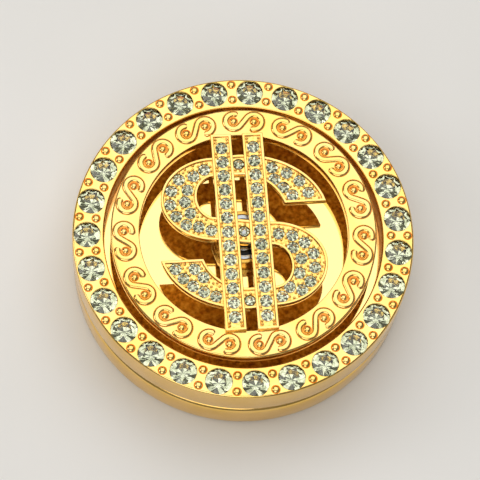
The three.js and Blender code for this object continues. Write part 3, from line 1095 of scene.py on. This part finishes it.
def drill_seats(piece, places, floor, radius):
    drill = turned(
        "small_drill",
        [
            (0, floor - 0.8 * MM, 0),
            (0.2 * radius, floor - 0.8 * MM, 0),
            (radius, floor - 0.02 * MM, 0),
            (radius, floor + 0.1 * MM, 0),
            (0, floor + 0.1 * MM, 0),
        ],
        20,
    )
    drills = [copy_to(drill, "drill_copy", Matrix.Translation((*place, 0))) for place in places]
    bpy.data.objects.remove(drill)
    cut(piece, join(drills, "small_drills"))


drill_seats(letter, letter_places + cross_places, LETTER_FLOOR, SMALL_RADIUS)
for bar, x in zip(bars, (-BAR_X, BAR_X)):
    drill_seats(bar, [p for p in bar_places if p.x * x > 0], BAR_FLOOR, BAR_SHARE * SMALL_RADIUS)

# %% [markdown]
# Under the letter a short hub takes the spindle. It is turned separately and joined on. How the real letter
# is carried can't be seen, so the hub is a guess.

# %% Turn the hub and finish the casting
hub_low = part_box("hub_shim")[1].z
hub = turned(
    "hub",
    [
        (1.5 * MM, hub_low, 0),
        (1.95 * MM, hub_low, 0.1 * MM),
        (1.95 * MM, DOLLAR_LOW + 0.1 * MM, 0),
        (1.5 * MM, DOLLAR_LOW + 0.1 * MM, 0),
    ],
    64,
)
dollar = join([letter, *bars, hub], "dollar_casting")
wear(dollar, gold_plate, beaded_gold, cast_gold)
floors = (LETTER_FLOOR, BAR_FLOOR)
for face in dollar.data.polygons:
    on_floor = face.normal.z > 0.9 and min(abs(face.center.z - f) for f in floors) < 0.02 * MM
    face.material_index = 2 if face.normal.z < -0.7 else 1 if on_floor else 0
smooth(dollar)
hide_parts("dollar_sign")
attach(dollar, "spinner")
print("dollar faces", len(dollar.data.polygons))

# %% [markdown]
# The small stones have fewer facets than the big ones: a table, eight mains, eight stars and a pointed back.
# At less than two millimetres across, that is all a cutter gives them.

# %% Set the small stones
small = cut_stone("small_stone", SMALL_RADIUS, 0.32 * MM, 0.05 * MM, 0.75 * MM, False)
stones = []
for places, floor, share in (
    (letter_places, LETTER_FLOOR, 1.0),
    (bar_places, BAR_FLOOR, BAR_SHARE),
    (cross_places, LETTER_FLOOR, CROSS_SHARE),
):
    for k, place in enumerate(places):
        spot = Matrix.Translation((*place, floor + 0.08 * MM)) @ Matrix.Rotation(1.9 * k, 4, "Z")
        stones.append(copy_to(small, "small_copy", spot @ Matrix.Scale(share, 4)))
bpy.data.objects.remove(small)
small_stones = join(stones, "small_stones")
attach(small_stones, "spinner")
print("small stone faces", len(small_stones.data.polygons))

# %% [markdown]
# Each small stone is held by grains pushed up from the metal. On a bar they stand in fours between two
# stones. On the letter they ring each stone, and a second pass fills the bare metal that is left. A grain is
# left out where it would meet the border, a bar, a stone or another grain.

# %% Place the grains
GRAIN = 0.21 * MM


def inside_letter(point, margin):
    """Whether a point is inside the outline and at least margin from every side of it."""
    corners = [p * LETTER for p in outline]
    crossings = False
    for a, b in zip(corners, corners[1:] + corners[:1]):
        if (a.y > point.y) != (b.y > point.y):
            if point.x < a.x + (b.x - a.x) * (point.y - a.y) / (b.y - a.y):
                crossings = not crossings
        along = b - a
        length = along.length_squared
        share = min(1, max(0, (point - a).dot(along) / length)) if length else 0
        if (point - a - along * share).length < margin:
            return False
    return crossings


def clear_of_bars(point, margin):
    return abs(abs(point.x) - BAR_X) > BAR_WIDTH / 2 + margin


set_stones = letter_places + cross_places
grains = []


def raise_grain(spot):
    """Keeps a grain for this spot if there's bare metal for it."""
    fits = inside_letter(spot, BORDER + 0.6 * GRAIN) and clear_of_bars(spot, 0.6 * GRAIN)
    fits = fits and all((spot - p).length > SMALL_RADIUS + 0.5 * GRAIN for p in set_stones)
    if fits and all((spot - g).length > 2.7 * GRAIN for g in grains):
        grains.append(spot)


for place in set_stones:
    for k in range(9):
        turn = 2 * math.pi * k / 9 + place.x / MM
        raise_grain(place + Vector((math.cos(turn), math.sin(turn))) * (SMALL_RADIUS + 0.75 * GRAIN))
FILL_PITCH = 0.3 * MM
for row in range(-42, 43):
    for column in range(-42, 43):
        raise_grain(Vector(((column + 0.5 * (row % 2)) * FILL_PITCH, row * FILL_PITCH * 0.87)))
bar_grains = []
for x in (-BAR_X, BAR_X):
    for k in range(-7, 7):
        for dx in (-0.84, 0.84):
            for dy in (-0.25, 0.25):
                bar_grains.append(Vector((x + dx * MM, STONE_PITCH * (k + 0.5) + dy * MM)))
print("grains on the letter", len(grains), "on the bars", len(bar_grains))

# %% [markdown]
# A grain is a dome of a few dozen faces, because there are hundreds of them. Polished like the plate, it
# shows one bright dot in a ring of orange.

# %% Raise the grains
grain_dome = dome("grain", GRAIN, 10, 6, 0.26 * MM)
copies = []
for spots, floor in ((grains, LETTER_FLOOR), (bar_grains, BAR_FLOOR)):
    for spot in spots:
        copies.append(copy_to(grain_dome, "grain_copy", Matrix.Translation((*spot, floor + 0.04 * MM))))
bpy.data.objects.remove(grain_dome)
setting_grains = join(copies, "setting_grains")
smooth(setting_grains, 60)
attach(setting_grains, "spinner")

# %% [markdown]
# ## The bearing, seen between the bars
# Looking down past the letter, the eye meets the bearing's ground face and the lip of its cup. Those rings
# have to be truly round, so they're turned again over the frame's faceted ones.

# %% Turn the rings that show
cup_low, cup_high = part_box("bearing_cup")
race_low, race_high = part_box("bearing_outer_race")
shield_low, shield_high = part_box("bearing_shield_upper")
inner_low, inner_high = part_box("bearing_inner_race")
OUTER = race_high.x
CUP = OUTER + 0.62 * MM


def turned_part(name, node_name, body, slot_name, corners, finish=None):
    piece = turned(name, corners, 96)
    wear(piece, finish or slot_finish[slot_name])
    smooth(piece)
    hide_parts(node_name)
    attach(piece, body)


turned_part(
    "cup_turning",
    "bearing_cup",
    "body",
    "turned_brass",
    [
        (2.3 * MM, cup_low.z, 0.1 * MM),
        (3.2 * MM, cup_low.z, 0.1 * MM),
        (3.2 * MM, PLATE_LOW, 0),
        (CUP, PLATE_LOW, 0),
        (CUP, PLATE_TOP, 0),
        (CUP + 0.5 * MM, PLATE_TOP, 0),
        (CUP + 0.5 * MM, PLATE_TOP + 0.3 * MM, 0.1 * MM),
        (CUP, PLATE_TOP + 0.3 * MM, 0.1 * MM),
        (CUP, cup_high.z, 0.15 * MM),
        (OUTER + 0.02 * MM, cup_high.z, 0.1 * MM),
        (OUTER + 0.02 * MM, PLATE_TOP, 0),
        (2.3 * MM, PLATE_TOP, 0),
    ],
)

# %% [markdown]
# The races have a ball groove in the middle of their width, drawn here as a round corner each way, and a
# narrow chamfer at the face.


# %% Turn the races and the upper shield
def race_profile(near, far, low, high):
    """A race from its plain wall at radius near to its land at far, with the groove cut into the land."""
    middle = (low + high) / 2
    reach = 0.45 * MM
    depth = 0.2 * MM * (1 if near > far else -1)
    land = [
        (far, low, 0.08 * MM),
        (far, middle - reach, 0),
        (far + depth, middle - 0.2 * MM, 0),
        (far + depth, middle + 0.2 * MM, 0),
        (far, middle + reach, 0),
        (far, high, 0.08 * MM),
    ]
    wall = [(near, high, 0.12 * MM), (near, low, 0.12 * MM)]
    corners = land + wall
    return corners if near < far else list(reversed(corners))


turned_part(
    "outer_race_turning",
    "bearing_outer_race",
    "body",
    "bearing_steel",
    race_profile(OUTER, 2.86 * MM, race_low.z, race_high.z),
)
turned_part(
    "inner_race_turning",
    "bearing_inner_race",
    "spinner",
    "bearing_steel",
    race_profile(1.5 * MM, 2.14 * MM, inner_low.z, inner_high.z),
)
turned_part(
    "shield_turning",
    "bearing_shield_upper",
    "body",
    "bearing_steel",
    [
        (2.2 * MM, shield_low.z, 0),
        (2.84 * MM, shield_low.z, 0),
        (2.84 * MM, shield_high.z, 0.04 * MM),
        (2.2 * MM, shield_high.z, 0.04 * MM),
    ],
    make_turned("Blued steel shield", "#17181B", "#34373C", 0.1 * MM, 0.3),
)

# %% [markdown]
# ## The studio
# The table is plain and pale. One broad soft box hangs over it, on the far side from the camera, where the
# flat gold faces mirror it into the lens and go bright. The rest of the room is dim, so that edges and cuts
# turn darker and the metal keeps its shape.


# %% The table
table_paint = make_mottled(
    "Matt table paint",
    [(0.3, "#E6E4E0"), (0.7, "#ECEAE7")],
    60 * MM,
    2.0,
    grit=0.4 * MM,
    grit_detail=2.0,
    depth=0.01 * MM,
    Roughness=0.6,
)
clear_selection()
bpy.ops.mesh.primitive_plane_add(size=1.6)
table = new_piece("table")
table.data.materials.append(table_paint)


# %% [markdown]
# The lights are three area lamps, all aimed at the top of the rim. The broad one makes the flat faces bright,
# a small warm one from the left draws the edges, and one in front looks into the stones.

# %% The soft boxes
def soft_box(name, place, size, power, warmth=(1, 1, 1)):
    light = bpy.data.lights.new(name, "AREA")
    light.shape = "SQUARE"
    light.size = size
    light.energy = power
    light.color = warmth
    lamp = bpy.data.objects.new(name, light)
    lamp.location = place
    lamp.rotation_euler = (Vector((0, 0, RIM_TOP)) - Vector(place)).to_track_quat("-Z", "Y").to_euler()
    bpy.context.collection.objects.link(lamp)


soft_box("main_soft_box", (0.03, 0.2, 0.45), 0.6, 1.75)
soft_box("side_soft_box", (-0.5, 0.1, 0.3), 0.25, 0.5, (1, 0.97, 0.92))
soft_box("front_soft_box", (-0.12, -0.36, 0.44), 0.4, 0.9)

world = bpy.data.worlds.new("dim_room")
world.use_nodes = True
world.node_tree.nodes["Background"].inputs["Color"].default_value = linear("#D8D5CC")
world.node_tree.nodes["Background"].inputs["Strength"].default_value = 0.3
scene.world = world
scene.view_settings.view_transform = "Standard"

# %% [markdown]
# The camera looks down steeply from the lower left of the dollar sign, with a long lens, and is rolled a few
# degrees, so that the bars lean.

# %% Camera
ELEVATION = math.radians(68.3)
AZIMUTH = math.radians(-12.7)
ROLL = math.radians(8.9)
DISTANCE = 0.411

target = Vector((0, 0, RIM_TOP))
back = Vector(
    (
        math.sin(AZIMUTH) * math.cos(ELEVATION),
        -math.cos(AZIMUTH) * math.cos(ELEVATION),
        math.sin(ELEVATION),
    )
)
right = Vector((0, 0, 1)).cross(back).normalized()
up = back.cross(right)
rolled_right = right * math.cos(ROLL) + up * math.sin(ROLL)
rolled_up = up * math.cos(ROLL) - right * math.sin(ROLL)
lens = bpy.data.cameras.new("camera")
lens.sensor_width = 36
lens.lens = 211
lens.shift_x = -0.0075
lens.shift_y = -0.0104
lens.clip_start = 0.01
camera = bpy.data.objects.new("camera", lens)
camera.matrix_world = Matrix.Translation(target + back * DISTANCE) @ Matrix(
    (rolled_right, rolled_up, back)
).transposed().to_4x4()
bpy.context.collection.objects.link(camera)
scene.camera = camera
